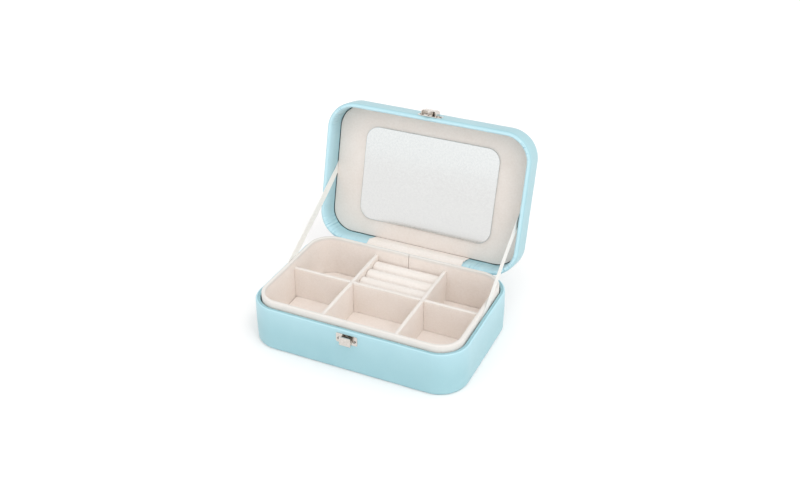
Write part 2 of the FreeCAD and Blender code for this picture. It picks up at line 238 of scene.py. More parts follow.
def lengths_along(path):
    """How far round the case each point of its outline lies, in millimetres."""
    found = [0.0]
    for a, b in zip(path, path[1:]):
        found.append(found[-1] + math.dist(a[:2], b[:2]))
    return found


def sweep(path, profile, shape):
    """Rows of points, one for each point of the profile, all round the path."""
    return [[shape(x, y, nx, ny, inset, z) for x, y, nx, ny in path] for inset, z in profile]


def pulled_in(x, y, nx, ny, inset, z):
    """The point that lies that far in from the outline, at that height."""
    return Vector((x - nx * inset, y - ny * inset, z))


def limited(value, low=0.0, high=1.0):
    return max(low, min(high, value))


# ---- materials ---------------------------------------------------------------------------
WHITE, BLACK = (1.0, 1.0, 1.0), (0.0, 0.0, 0.0)


class Nodes:
    """A short way to write a material's nodes. A value is a number, a colour or a socket."""

    def __init__(self, name):
        self.material = bpy.data.materials.new(name)
        self.material.use_nodes = True
        self.tree = self.material.node_tree
        self.surface = self.tree.nodes["Principled BSDF"]
        self.place = self.tree.nodes.new("ShaderNodeTexCoord").outputs["Object"]

    def set(self, **values):
        """Constants of the surface itself."""
        for key, value in values.items():
            self.surface.inputs[key.replace("_", " ")].default_value = value

    def fill(self, socket, value):
        if isinstance(value, bpy.types.NodeSocket):
            self.tree.links.new(value, socket)
        else:
            socket.default_value = value

    def node(self, kind, properties=None, **inputs):
        made = self.tree.nodes.new(kind)
        for key, value in (properties or {}).items():
            setattr(made, key, value)
        for key, value in inputs.items():
            self.fill(made.inputs[key.replace("_", " ")], value)
        return made

    def noise(self, scale, detail=2.0, rough=0.5, place=None):
        made = self.node(
            "ShaderNodeTexNoise", Scale=scale, Detail=detail, Roughness=rough,
            Vector=place or self.place)
        return made.outputs["Fac"]

    def cells(self, scale, feature="F1"):
        made = self.node(
            "ShaderNodeTexVoronoi", {"feature": feature}, Scale=scale, Vector=self.place)
        return made.outputs["Distance"]

    def stretched(self, scale, turn=(0, 0, 0)):
        made = self.node("ShaderNodeMapping", Scale=scale, Rotation=turn, Vector=self.place)
        return made.outputs["Vector"]

    def marked(self, name):
        """A number that the piece's mesh holds for each point."""
        return self.node("ShaderNodeAttribute", {"attribute_name": name}).outputs["Fac"]

    def ramp(self, value, stops):
        """A colour from a value, by stops of (value, colour)."""
        made = self.node("ShaderNodeValToRGB", Fac=value)
        marks = made.color_ramp.elements
        for mark, (at, colour) in zip([marks[0], marks[1]], (stops[0], stops[-1])):
            mark.position = at
            mark.color = (*colour, 1)
        for at, colour in stops[1:-1]:
            marks.new(at).color = (*colour, 1)
        return made.outputs["Color"]

    def between(self, value, low, high, out_low, out_high):
        """A value moved from the range of low to high into another, and held within it."""
        made = self.node(
            "ShaderNodeMapRange", Value=value, From_Min=low, From_Max=high, To_Min=out_low,
            To_Max=out_high)
        return made.outputs["Result"]

    def times(self, a, b):
        made = self.node("ShaderNodeMath", {"operation": "MULTIPLY"})
        self.fill(made.inputs[0], a)
        self.fill(made.inputs[1], b)
        return made.outputs[0]

    def mix(self, share, a, b, blend="MIX"):
        """Two colours, with the share of the second."""
        made = self.node("ShaderNodeMix", {"data_type": "RGBA", "blend_type": blend})
        share_socket, a_socket, b_socket = made.inputs[0], made.inputs[6], made.inputs[7]
        self.fill(share_socket, share)
        for socket, value in ((a_socket, a), (b_socket, b)):
            self.fill(socket, (*value, 1) if isinstance(value, tuple) else value)
        return made.outputs[2]

    def bumps(self, *layers):
        """Bump layers as (height, strength, depth in millimetres), the broadest first."""
        normal = None
        for height, strength, depth in layers:
            made = self.node(
                "ShaderNodeBump", Height=height, Strength=strength, Distance=depth * MM)
            if normal:
                self.fill(made.inputs["Normal"], normal)
            normal = made.outputs["Normal"]
        self.fill(self.surface.inputs["Normal"], normal)

    def colour(self, value):
        self.fill(self.surface.inputs["Base Color"], value)

    def roughness(self, value):
        self.fill(self.surface.inputs["Roughness"], value)


def levelled(level, *tones):
    """Colours, each made darker or lighter by the same factor."""
    return [tuple(level * c for c in tone) for tone in tones]


# painted light: the paler blue that the edge mark mixes in, for painted highlights on rims and
# lighter walls
PAINTED_LIGHT_BLUE = (0.54, 0.79, 0.875)


def leather_material():
    """Grained leather. Three marks shape it: "edge" says how much painted light it gets, as a paler
    blue for painted highlights and lighter walls, "along" how far round the case it lies in
    millimetres, and "creased" how deep it is creased.
    """
    made = Nodes("leather_blue")
    edge, along, creased = (made.marked(name) for name in ("edge", "along", "creased"))
    pebbles = made.cells(1100)
    cracks = made.cells(420, "SMOOTH_F1")
    fine = made.noise(3200, 3)
    broad = made.noise(38, 3)
    tone = made.ramp(broad, [(0.3, (0.298, 0.522, 0.578)), (0.7, (0.328, 0.552, 0.605))])
    valleys = made.ramp(pebbles, [(0.0, (0.93, 0.955, 0.965)), (0.45, WHITE)])
    grained = made.mix(0.6, tone, valleys, "MULTIPLY")
    made.roughness(made.between(fine, 0.3, 0.7, 0.40, 0.52))
    made.set(Coat_Weight=0.3, Coat_Roughness=0.24, Specular_IOR_Level=0.45)
    # short creases across a rolled edge, in patches, with painted shade in their folds and painted
    # highlights on their ridges
    across = made.node("ShaderNodeCombineXYZ", X=made.times(along, 0.6), Y=edge)
    folds = made.noise(1.0, 3, 0.6, across.outputs["Vector"])
    patches = made.times(made.between(made.noise(75, 2), 0.42, 0.56, 0.0, 1.0), creased)
    crease_shade, crease_highlight = (0.60, 0.74, 0.80), (1.22, 1.12, 1.08)
    shade = made.ramp(folds, [(0.40, crease_shade), (0.47, WHITE), (0.53, WHITE), (0.60, crease_highlight)])
    # painted light: where the edge mark says, the grain turns the paler blue
    stretched = made.mix(edge, grained, PAINTED_LIGHT_BLUE)
    made.colour(made.mix(patches, stretched, made.mix(1.0, stretched, shade, "MULTIPLY")))
    made.bumps(
        (broad, 0.25, 0.25), (made.times(folds, patches), 0.7, 0.8), (cracks, 0.18, 0.10),
        (pebbles, 0.30, 0.07), (fine, 0.2, 0.02))
    return made.material


# painted shade: a greyer, darker cream mixed in where the velvet catches the most light
PAINTED_SHADE_CREAM = (0.745, 0.715, 0.68)


def velvet_material(name, level=1.0):
    """Short-pile velvet with painted shade: greyer and darker where the mark "worn" says so. The
    level darkens it.
    """
    made = Nodes(name)
    nap = made.noise(55, 4, 0.6)
    tufts = made.noise(700, 3, 0.6)
    fibres = made.noise(4200, 2)
    low, high = levelled(level, (0.862, 0.792, 0.738), (0.886, 0.824, 0.778))
    tone = made.ramp(nap, [(0.32, low), (0.68, high)])
    speckle = made.ramp(tufts, [(0.35, (0.955, 0.945, 0.935)), (0.62, WHITE)])
    made.colour(made.mix(made.marked("painted_shade"), made.mix(0.8, tone, speckle, "MULTIPLY"), PAINTED_SHADE_CREAM))
    made.roughness(made.between(tufts, 0.3, 0.7, 0.88, 0.98))
    made.set(
        Sheen_Weight=0.12, Sheen_Roughness=0.45, Sheen_Tint=(1.0, 0.96, 0.92, 1),
        Specular_IOR_Level=0.12)
    made.bumps((nap, 0.2, 0.3), (tufts, 0.35, 0.15), (fibres, 0.4, 0.05))
    return made.material


WEFT_TURN = (0.64, 0, 0)   # the threads across the ribbon, at a right angle to its slope


def ribbon_material(name, level):
    """Satin: long threads along the ribbon, fine ones across it."""
    made = Nodes(name)
    warp = made.noise(1.0, 2, 0.5, made.stretched((2200, 300, 2200)))
    weft = made.noise(1.0, 2, 0.5, made.stretched((300, 2600, 300), WEFT_TURN))
    low, high = levelled(level, (0.82, 0.82, 0.785), (0.88, 0.88, 0.85))
    made.colour(made.ramp(warp, [(0.3, low), (0.7, high)]))
    made.roughness(made.between(weft, 0.3, 0.7, 0.5, 0.68))
    made.set(Sheen_Weight=0.08, Sheen_Roughness=0.3, Specular_IOR_Level=0.3)
    made.bumps((warp, 0.3, 0.05), (weft, 0.25, 0.04))
    return made.material


def mirror_material():
    """Silvered glass, its tone and gloss mottled a little, with painted glints: a few bright
    specks.
    """
    made = Nodes("mirror_glass")
    film = made.noise(650, 4, 0.65)
    specks = made.cells(450)
    tone = made.ramp(film, [(0.38, (0.665, 0.685, 0.685)), (0.60, (0.705, 0.725, 0.722))])
    # painted glints: bright specks added to the mirror's colour
    glints = made.ramp(specks, [(0.0, WHITE), (0.07, BLACK)])
    made.colour(made.mix(0.12, tone, glints, "ADD"))
    made.roughness(made.between(film, 0.35, 0.65, 0.06, 0.12))
    made.set(Metallic=1.0)
    made.bumps((film, 0.06, 0.03))
    return made.material


def nickel_material(name, level=1.0):
    """Bright nickel plate. The level darkens its colour."""
    made = Nodes(name)
    brushed = made.noise(1.0, 3, 0.6, made.stretched((700, 5200, 5200)))
    dull = made.noise(900, 3)
    low, high = levelled(level, (0.60, 0.56, 0.52), (0.72, 0.68, 0.64))
    made.colour(made.ramp(dull, [(0.3, low), (0.7, high)]))
    made.roughness(made.between(brushed, 0.3, 0.7, 0.14, 0.26))
    made.set(Metallic=1.0)
    made.bumps((brushed, 0.12, 0.02), (dull, 0.1, 0.03))
    return made.material


def board_material():
    # painted shade: the board is near black, so that the gap round the lid's panel shows as a dark
    # line
    made = Nodes("board_painted_dark")
    pulp = made.noise(260, 5, 0.7)
    made.colour(made.ramp(pulp, [(0.3, (0.06, 0.075, 0.08)), (0.7, (0.10, 0.115, 0.12))]))
    made.roughness(made.between(pulp, 0.3, 0.7, 0.85, 0.95))
    made.bumps((pulp, 0.3, 0.1))
    return made.material


def foam_material():
    made = Nodes("padding_foam")
    pores = made.cells(900)
    made.colour(made.ramp(pores, [(0.0, (0.7, 0.67, 0.6)), (0.5, (0.86, 0.83, 0.77))]))
    made.roughness(made.between(pores, 0.0, 0.6, 0.9, 1.0))
    made.bumps((pores, 0.4, 0.2))
    return made.material


def floor_material():
    made = Nodes("pale_floor")
    mottle = made.noise(3, 2)
    made.colour(made.ramp(mottle, [(0.3, (0.975, 0.945, 0.935)), (0.7, (0.985, 0.955, 0.945))]))
    made.set(Roughness=0.9)
    return made.material


MATERIALS = {
    "leather": leather_material(),
    "velvet": velvet_material("velvet_cream"),
    # painted light: the left ribbon's satin is a lighter copy, as it stands in the lid's shade
    "ribbon": ribbon_material("ribbon_satin", 1.04),
    "mirror": mirror_material(),
    "nickel": nickel_material("nickel"),
    # painted shade: the nails get a much darker copy of the nickel
    "nails": nickel_material("nickel_nails_darkened", 0.4),
    "board": board_material(),
    "foam": foam_material(),
}


def dress(piece, slot):
    """Gives a piece the material of its slot."""
    piece.data.materials.clear()
    piece.data.materials.append(MATERIALS[slot])
    return piece


def place(piece, slot, body, *nodes, padded=None):
    """Finishes a piece: its material, the body that it rides on and the nodes it stands for."""
    dress(piece, slot)
    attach(piece, body)
    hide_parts(*nodes)


# ---- ribbons -----------------------------------------------------------------------------
RIBBON_WIDTH, RIBBON = 6.5, 0.35
RIBBON_X = 78.55
RIBBON_TUCK = 8    # how many points in from either end of the line
LID_UP = SWING.to_3x3() @ Vector((0, 0, 1))
# For each stay: its side, how far it is turned about its own length between its ends, in degrees,
# and its route from the tuck in the base to the tuck in the lid, as (x past RIBBON_X, y, z).
RIBBONS = {
    "ribbon_left": (-1, -6, [
        (0, -15.8, 25.0), (0, 1.0, 34.0), (-0.6, 42.8, 57.0), (-0.45, 80.3, 77.7),
        (0, 85.95, 80.8)]),
    "ribbon_right": (1, -4, [
        (0, -8.9, 25.0), (0, 5.5, 34.0), (-0.6, 45.5, 58.8), (-0.45, 81.3, 81.1),
        (0, 86.84, 84.5)]),
}


def ribbon_section():
    """Round the ribbon as (across, share of its half thickness): a web between woven edges."""
    half = RIBBON_WIDTH / 2
    upper = [(-half, 0.0), (-half + 0.12, 1.0), (-half + 0.5, 1.0), (-half + 0.7, 0.72)]
    upper += [(-1.2, 0.8), (1.2, 0.8)]
    upper += [(half - 0.7, 0.72), (half - 0.5, 1.0), (half - 0.12, 1.0), (half, 0.0)]
    return upper + [(v, -up) for v, up in reversed(upper[1:-1])]


def route_line(points):
    """The smooth line that control points in metres make."""
    curve = bpy.data.curves.new("route", "CURVE")
    curve.dimensions = "3D"
    spline = curve.splines.new("NURBS")
    spline.points.add(len(points) - 1)
    for mark, point in zip(spline.points, points):
        mark.co = (*point, 1)
    spline.order_u = 3
    spline.use_endpoint_u = True
    spline.resolution_u = 24
    holder = bpy.data.objects.new("route", curve)
    mesh = bpy.data.meshes.new_from_object(holder)
    line = [v.co.copy() for v in mesh.vertices]
    bpy.data.meshes.remove(mesh)
    bpy.data.curves.remove(curve)
    return line


def heading(line, i):
    """The direction of a line at one of its points."""
    return (line[min(i + 1, len(line) - 1)] - line[max(i - 1, 0)]).normalized()


def make_ribbon(node, side, turned, route):
    line = route_line([Vector((side * (RIBBON_X + x), y, z)) * MM for x, y, z in route])
    section = ribbon_section()
    points = []
    for i, centre in enumerate(line):
        t = i / (len(line) - 1)
        along = heading(line, i)
        flat = along.cross(Vector((1, 0, 0))).normalized()
        free = limited((0.8 - abs(2 * t - 1)) / 0.3)
        flat = Matrix.Rotation(math.radians(turned * free), 3, along) @ flat
        up = along.cross(flat)
        # the ends are cut level with the base and with the lid's panel
        square = Vector((0, 0, 1)) if t < 0.5 else LID_UP
        slant = limited(flat.dot(square) / along.dot(square), -1.4, 1.4)
        slant *= max(0.0, abs(2 * t - 1) - 0.8) / 0.2
        for v, u in section:
            points.append(centre / MM + (flat - along * slant) * v + up * u * RIBBON / 2)
    count = len(section)
    faces = grid_faces(len(line), count, wrap_columns=True)
    faces.append(tuple(range(count)))
    faces.append(tuple(reversed(range((len(line) - 1) * count, len(line) * count))))
    piece = new_object(f"{node}_satin", points, faces, sharp=60)
    dress(piece, "ribbon")
    # painted shade: the right ribbon, which faces the light, gets a darker copy of the satin
    if side > 0:
        piece.data.materials[0] = ribbon_material("ribbon_satin_right_shaded", 0.88)
    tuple(line[RIBBON_TUCK])
    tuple(line[-1 - RIBBON_TUCK])
    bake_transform(piece)
    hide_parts(node)
    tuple(line[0])
    sum((b - a).length for a, b in zip(line, line[1:]))


for node, (side, turned, route) in RIBBONS.items():
    make_ribbon(node, side, turned, route)


# ---- leather -----------------------------------------------------------------------------
def gathers(x, y, nx, ny, seed):
    """Small radial creases where leather is drawn round a corner: 0 to 1, 1 in a crease."""
    angle = math.atan2(ny, nx)
    ripple = math.sin(angle * 34 + 3 * soft(x, y, 0, 9, seed)) * 0.5 + 0.5
    patchy = max(0.0, soft(x, y, 0, 7, seed + 3) + 0.25)
    return bend(nx, ny) * ripple**3 * min(1.0, patchy * 1.6)


def base_leather():
    """The skin from under the foot, up the sides and over the rim to behind the tray."""
    path = outline(1.0)
    profile = run((TURN_UNDER, 0), (FOOT_R, 0), 3)
    profile += arc((FOOT_R, FOOT_R), FOOT_R, 270, 180, 7)
    profile += run((0, FOOT_R + 0.4), (0, RIM_Z - RIM_R), 1.6)
    profile += arc((RIM_R, RIM_Z - RIM_R), RIM_R, 180, 90, 7)
    profile += run((RIM_R + 0.2, RIM_Z), (WALL - RIM_INNER_R, RIM_Z), 0.3)
    profile += arc((WALL - RIM_INNER_R, RIM_Z - RIM_INNER_R), RIM_INNER_R, 90, 0, 4)
    profile += run((WALL, RIM_Z - 1.2), (WALL, RIM_Z - TURN_IN), 2)

    def shape(x, y, nx, ny, inset, z):
        """Swollen sides, small creases round the foot and a shallow hollow along the rim."""
        out = 0.0
        if inset < FOOT_R and z > 0:
            high = limited((z - FOOT_R) / (RIM_Z - FOOT_R))
            out += SIDE_SWELL * math.sin(math.pi * high) + 0.12 * soft(x, y, z, 13)
            foot = max(0.0, 1 - z / 4)
            out += foot * 0.18 * soft(x, y, 0, 5, 2)
            out -= 0.16 * foot * gathers(x, y, nx, ny, 4)
        up = 0.0
        if z > RIM_Z - 2:
            up = 0.07 * soft(x, y, 0, 9, 1) - 0.10 * gathers(x, y, nx, ny, 6)
            if RIM_R + 0.3 < inset < WALL - RIM_INNER_R:
                up -= 0.3
        return pulled_in(x, y, nx, ny, inset - out, z + up)

    rows = sweep(path, profile, shape)
    points = [p for row in rows for p in row]
    faces = grid_faces(len(rows), len(path), wrap_columns=True)
    piece = new_object("base_leather", points, faces, closed=False)
    shares = []
    # painted light: the edge mark makes the sides paler towards the top and paints a highlight
    # along the rim's outer crest
    for inset, z in profile:
        side = 0.34 * (max(0.0, z / RIM_Z - 0.35) / 0.65) ** 1.5 if inset < RIM_R else 0.0
        crest_highlight = max(0.0, 1 - math.hypot(inset - 0.6, z - RIM_Z) / 0.85) ** 1.2 * 0.95
        shares.append(max(side, crest_highlight))
    mark(piece, "edge", [share for share in shares for _ in path])
    thicken(piece, LEATHER)
    place(piece, "leather", "base", "base_cover")


STRIP_LOW, STRIP_HIGH = box_mm("hinge_strip")
LID_CROWN = LID_HIGH - CROWN_R
# the roll inside the lid's rim, as (in from the crest, up from the rim)
ROLL_SLOPE = [
    (0.0, 0.05), (0.35, 0.28), (0.7, 0.7), (1.0, 1.3), (1.22, 2.0), (1.38, 2.9), (1.5, 4.0),
    (1.6, 5.2), (1.66, 6.6), (1.66, 8.2), (1.6, 9.8), (1.52, 11.4), (1.44, 13.0),
]


def lid_profile():
    """From the top over the crown, the side and the rim, and in to the panel."""
    profile = [(inset, LID_HIGH) for inset in (CORNER_R - 1.5, 18, 15, 12, 9, 7, 5.8)]
    profile += arc((CROWN_R, LID_CROWN), CROWN_R, 90, 180, 12)
    profile += run((0, LID_CROWN - 0.6), (0, LID_LOW + LID_RIM_R), 1.5)
    profile += arc((LID_RIM_R, LID_LOW + LID_RIM_R), LID_RIM_R, 180, 270, 10)
    profile += [(LID_CREST + across, LID_LOW + deep) for across, deep in ROLL_SLOPE]
    return profile + run((LID_WALL, PANEL_Z - 1.6), (LID_WALL, PANEL_Z + PANEL), 1.0)


def lid_marks(path, profile, plain_points):
    """The edge and creased marks of the lid: none on its top, the most on its rolled rim. The edge
    mark is painted light: lighter inner walls and a painted highlight on the roll.
    """
    sides = [max(bend(nx, ny), 0.6 if ny > 0.99 else 0.1) for x, y, nx, ny in path]
    edge, creased = [0.0] * plain_points, [0.0] * plain_points
    for inset, z in profile:
        deep = limited((z - LID_LOW - 1.5) / 8)
        # painted light on the inner wall, fading with depth, and a painted highlight low on the
        # roll
        if inset > 1.3 and z < PANEL_Z:
            share = 0.78 - 0.42 * deep
        else:
            share = 0.5 if inset > 0.5 and z < LID_LOW + 2.5 else 0.12 * (1 - deep)
        edge += [share] * len(path)
        rolled = 0.85 if inset > 1.0 and z < PANEL_Z else 0.0
        creased += [rolled * side for side in sides]
    return edge, creased


def lid_leather():
    """The skin over the padded top and the sides, rolled over the rim and in to the panel."""
    path = outline(1.0)
    profile = lid_profile()

    def shape(x, y, nx, ny, inset, z):
        """Soft sides, and a rolled rim with dents, creases and a hollow under the hinge strip."""
        out, up = 0.0, 0.0
        inner = limited((inset - LID_CREST + 0.6) / 2) if inset < PANEL_INSET else 0.0
        rim = max(0.0, 1 - (z - LID_LOW) / (11 if inner else 3.6))
        crease = gathers(x, y, nx, ny, 8)
        if inset < LID_WALL - 1:
            high = (z - LID_LOW) / (LID_HIGH - LID_LOW)
            out += (0.30 + 0.14 * soft(x, y, z, 12, 5)) * math.sin(math.pi * high)
        if rim > 0:
            dent = 0.45 * crease + 0.16 * soft(x, y, 0, 4, 9) + 0.14 * soft(x, y, 0, 1.6, 11)
            up += rim * dent * (0.3 + 0.7 * inner)
            back = 1.0 if y > HALF_Y - 6 and abs(x) < HALF_X - CORNER_R else 0.0
            out += inner * rim * (0.7 * crease + (0.14 + 0.35 * back) * soft(x, y, z, 2.0, 13))
        out += inner * 0.1 * soft(x, y, z, 6, 12)
        if ny > 0.99:
            under = min(limited((x - STRIP_LOW.x - 4) / 3), limited((STRIP_HIGH.x - 1 - x) / 3))
            out += inner * 0.35 * under
        if z > LID_CROWN and inset < CROWN_R:
            up -= 0.15 * crease * (z - LID_CROWN) * (LID_HIGH - z) / 6
        if z == LID_HIGH:
            return dome(x - nx * inset, y - ny * inset)
        inward, upward = inset - out, z + up
        # so that the board's sharp inner corner stays covered
        if z < PANEL_Z and inset > LID_CREST + 0.6:
            inward = max(inward, BOARD_INSET + BOARD_GAP)
        if z < LID_LOW + BOARD_COVER and inset > 1.2:
            upward = min(upward, LID_LOW + BOARD_COVER - 0.1)
        return pulled_in(x, y, nx, ny, inward, upward)

    def dome(x, y):
        """The padded top, swelling a little towards the middle."""
        swell = (1 - (x / HALF_X) ** 2) * (1 - (y / HALF_Y) ** 2)
        uneven = 0.1 * min(1.0, 4 * swell) * soft(x, y, 0, 16, 7)
        return Vector((x, y, LID_HIGH + 0.5 * swell + uneven))

    rows = sweep(path, profile, shape)
    top_rows = [[dome(p.x * i / 24, p.y * i / 24) for p in rows[0]] for i in range(1, 24)]
    rows = top_rows + rows
    points = [p for row in rows for p in row] + [dome(0, 0)]
    count = len(path)
    faces = grid_faces(len(rows), count, wrap_columns=True)
    faces += fan_faces(list(range(count)), len(points) - 1, flip=True)
    faces = [tuple(reversed(face)) for face in faces]
    piece = new_object("lid_leather", [SWING @ p for p in points], faces, closed=False)
    edge, creased = lid_marks(path, profile, len(top_rows) * count)
    # the edge mark paints light on the rolled rim and the inner wall
    mark(piece, "edge", edge + [0.0])
    mark(piece, "along", lengths_along(path) * len(rows) + [0.0])
    mark(piece, "creased", creased + [0.0])
    thicken(piece, LEATHER / 2)
    place(piece, "leather", "lid", "lid_cover", padded=0.7)


base_leather()
lid_leather()


# ---- velvet ------------------------------------------------------------------------------
def offset_profile(profile, amount):
    """A closed profile pulled in by an amount."""
    found = []
    count = len(profile)
    for i, (x, y) in enumerate(profile):
        x0, y0 = profile[i - 1]
        x1, y1 = profile[(i + 1) % count]
        length = math.hypot(x1 - x0, y1 - y0) or 1.0
        found.append((x - (y1 - y0) / length * amount, y + (x1 - x0) / length * amount))
    return found


def upright_section(half, low, high, radius, step=2.0):
    """A closed counter-clockwise section with a rounded top, as (across, up)."""
    section = run((half, low), (half, high - radius), step)
    section += arc((half - radius, high - radius), radius, 0, 90, 6)
    section += arc((radius - half, high - radius), radius, 90, 180, 6)
    section += run((-half, high - radius - step), (-half, low), step)
    section.append((-half, low))
    return section


END_ROUND, CARD_END = 0.35, 0.3   # the rounding of the tray wall's ends and of a card's
LIP_R, CARD_R, CARD_PILE = 0.95, 0.8, 0.15
CARD_PRESS = 0.1      # how far a card's ends press into the pile of the tray wall
NOTCH_STEP = 0.004    # how much a notch's side leans


def pulled_at(near, radius):
    """How far a surface is pulled in, near an end with that rounding."""
    return radius - math.sqrt(max(0.0, radius**2 - (radius - min(near, radius)) ** 2))


def tray_wall():
    """The velvet-covered ring, its two ends butted at the back with the velvet turned in."""
    middle = TRAY_OUT + TRAY_WALL / 2
    low = box_mm("tray_wall")[0].z
    section = upright_section(TRAY_WALL / 2, low, TRAY_TOP, LIP_R)
    nears = (0.0, 0.1, 0.22, END_ROUND)
    rings = [
        (SEAM_X - SEAM_HALF - near, HALF_Y, 0, 1, pulled_at(near, END_ROUND)) for near in nears]
    rings += [(*spot, 0.0) for spot in outline(1.0, SEAM_X)[1:]]
    rings += [
        (SEAM_X + SEAM_HALF + near, HALF_Y, 0, 1, pulled_at(near, END_ROUND))
        for near in reversed(nears)]
    points, painted_shade = [], []
    for x, y, nx, ny, pulled in rings:
        for across, up in offset_profile(section, pulled) if pulled else section:
            # painted shade on the lip's top and outer face
            painted_shade.append(1.0 if up > TRAY_TOP - 1.0 else (0.6 if across > 0.5 else 0.0))
            wave = 0.10 * soft(x, y, up, 8, 21)
            lip = 0.12 * soft(x, y, 0, 11, 22) if up > TRAY_TOP - 3 else 0.0
            points.append(pulled_in(x, y, nx, ny, middle - across * (1 + wave), up + lip))
    count = len(section)
    faces = grid_faces(len(rings), count, wrap_columns=True)
    faces.append(tuple(reversed(range(count))))
    faces.append(tuple(range((len(rings) - 1) * count, len(rings) * count)))
    piece = new_object("tray_wall_velvet", points, faces)
    mark(piece, "painted_shade", painted_shade)
    place(piece, "velvet", "base", "tray_wall")


def rounded_slab(name, inset, low, high, edge, top_shape, turn=None):
    """A slab with the case's outline pulled in, its top edge rounded and its top shaped."""
    path = outline(1.2)
    profile = [(inset + edge, low)] + run((inset, low + 0.01), (inset, high - edge), 1.0)
    profile += arc((inset + edge, high - edge), edge, 180, 90, 6)
    profile += [(inset + edge + d, high) for d in (1.0, 2.5, 4.5)]
    shaped = len(profile) - 9   # the rounding's second row, where the top's shape sets in
    rows = sweep(path, profile, pulled_in)
    inner = rows[-1]
    shares = [1 - i / 40 for i in range(1, 40)]
    rows += [[Vector((p.x * t, p.y * t, high)) for p in inner] for t in shares]
    points = []
    for i, row in enumerate(rows):
        lifts = [top_shape(p.x, p.y) if i >= shaped else 0.0 for p in row]
        points += [Vector((p.x, p.y, p.z + lift)) for p, lift in zip(row, lifts)]
    count = len(path)
    points.append(Vector((0, 0, high + top_shape(0, 0))))
    faces = grid_faces(len(rows), count, wrap_columns=True)
    last = list(range((len(rows) - 1) * count, len(rows) * count))
    faces += fan_faces(last, len(points) - 1, flip=False)
    faces.append(tuple(reversed(range(count))))
    if turn:
        points = [turn @ p for p in points]
    return new_object(name, points, faces)


def tray_floor():
    """The floor of the compartments, a little uneven."""
    inset = HALF_X - box_mm("tray_floor")[1].x + 0.1
    low = box_mm("tray_floor")[0].z

    def top(x, y):
        return 0.16 * soft(x, y, 0, 14, 31) + 0.05 * soft(x, y, 0, 3, 32) - 0.1

    piece = rounded_slab("tray_floor_velvet", inset, low, FLOOR_Z, 0.8, top)
    place(piece, "velvet", "base", "tray_floor")


MIRROR_HALF_X, MIRROR_HALF_Y = 57, 39   # what the mirror covers, with a little round it


def lid_panel():
    """Drawn upside down at the panel's height and turned over, so that it faces the tray."""
    flip = Matrix.Translation((0, 0, 2 * PANEL_Z)) @ Matrix.Diagonal((-1, 1, -1, 1))

    def top(x, y):
        under = abs(x) < MIRROR_HALF_X and abs(y) < MIRROR_HALF_Y
        return (0.03 if under else 0.10) * soft(x, y, 0, 12, 33) - 0.05

    piece = rounded_slab(
        "lid_panel_velvet", PANEL_INSET, PANEL_Z - PANEL, PANEL_Z, 0.45, top, SWING @ flip)
    place(piece, "velvet", "lid", "lid_panel")
    # painted shade: the panel gets a darker copy of the velvet
    piece.data.materials[0] = velvet_material("velvet_panel_shaded", 0.895)


def card_positions(start, end, notches):
    """Where a card has its rows of points: closer together by its ends and its notches."""
    stops = sorted({start, end, *(edge for notch in notches for edge in notch)})
    positions = [end]
    for a, b in zip(stops, stops[1:]):
        count = max(2, math.ceil((b - a) / 1.5))
        positions += [a + (b - a) * i / count for i in range(count)]
    edges = [(start, 1), (end, -1)]
    for low_edge, high_edge in notches:
        edges += [(low_edge, -1), (high_edge, 1)]
        positions += [low_edge + NOTCH_STEP, high_edge - NOTCH_STEP]
    for edge, side in edges:
        positions += [edge + side * d for d in (0.03, 0.12, CARD_END)]
    return sorted({round(p, 4) for p in positions})


def card(node, along, across, low, high, notches, low_notch):
    """A velvet-covered card along X or Y, cut down (or up) where another crosses it."""
    start, end = along
    positions = card_positions(start, end, notches)
    points, painted_shade = [], []

    def rounding(p):
        gaps = [p - start, end - p]
        for notch in notches:
            gaps.append(notch[0] - p if p <= notch[0] else p - notch[1])
        return pulled_at(min(gap for gap in gaps if gap >= -1e-6), CARD_END)

    for p in positions:
        inside = any(notch[0] < p < notch[1] for notch in notches)
        bottom = LAP_Z + LAP_PLAY if inside and low_notch else low
        top = LAP_Z - LAP_PLAY if inside and not low_notch else high
        pulled = 0.0 if inside else rounding(p)
        half = DIVIDER / 2 + CARD_PILE - pulled
        shoulder = top - CARD_R
        heights = [bottom + (shoulder - bottom) * i / 9 for i in range(9)]
        section = [(half, up) for up in heights]
        section += arc((half - CARD_R, shoulder), CARD_R, 0, 90, 5)
        section += arc((CARD_R - half, shoulder), CARD_R, 90, 180, 5)
        section += [(-half, up) for up in reversed(heights)]
        for side, up in section:
            lean = 0.16 * soft(p, across, up, 22, 41) + 0.07 * soft(p, side, up, 5, 42)
            lip = 0.14 * soft(p, across, 0, 9, 43) if up > top - 2 else 0.0
            q = (p, across + side + lean) if node == "long_divider" else (across + side + lean, p)
            drop = pulled if up > top - 1.2 else 0.0
            points.append(Vector((*q, up + lip - drop)))
            # painted shade along the card's top
            painted_shade.append(0.55 if up > top - 0.6 else 0.0)
    count = len(points) // len(positions)
    faces = grid_faces(len(positions), count, wrap_columns=True)
    faces.append(tuple(reversed(range(count))))
    faces.append(tuple(range((len(positions) - 1) * count, len(positions) * count)))
    if node != "long_divider":
        faces = [tuple(reversed(face)) for face in faces]
    piece = new_object(f"{node}_velvet", points, faces)
    mark(piece, "painted_shade", painted_shade)
    place(piece, "velvet", "base", node)


def dividers():
    """The long card is cut from above and the two short ones from below, and they interlock."""
    half = DIVIDER / 2 + LAP_PLAY
    bottom = FLOOR_Z + DIVIDER_GAP
    low, high = box_mm("long_divider")
    crossings = [(x - half, x + half) for x in SHORT_X]
    card(
        "long_divider", (low.x - CARD_PRESS, high.x + CARD_PRESS), LONG_Y, bottom, DIVIDER_TOP,
        crossings, False)
    low, high = box_mm("left_divider")
    crossing = [(LONG_Y - half, LONG_Y + half)]
    for side, x in zip(("left", "right"), SHORT_X):
        card(
            f"{side}_divider", (low.y - CARD_PRESS, high.y + CARD_PRESS), x, bottom, DIVIDER_TOP,
            crossing, True)


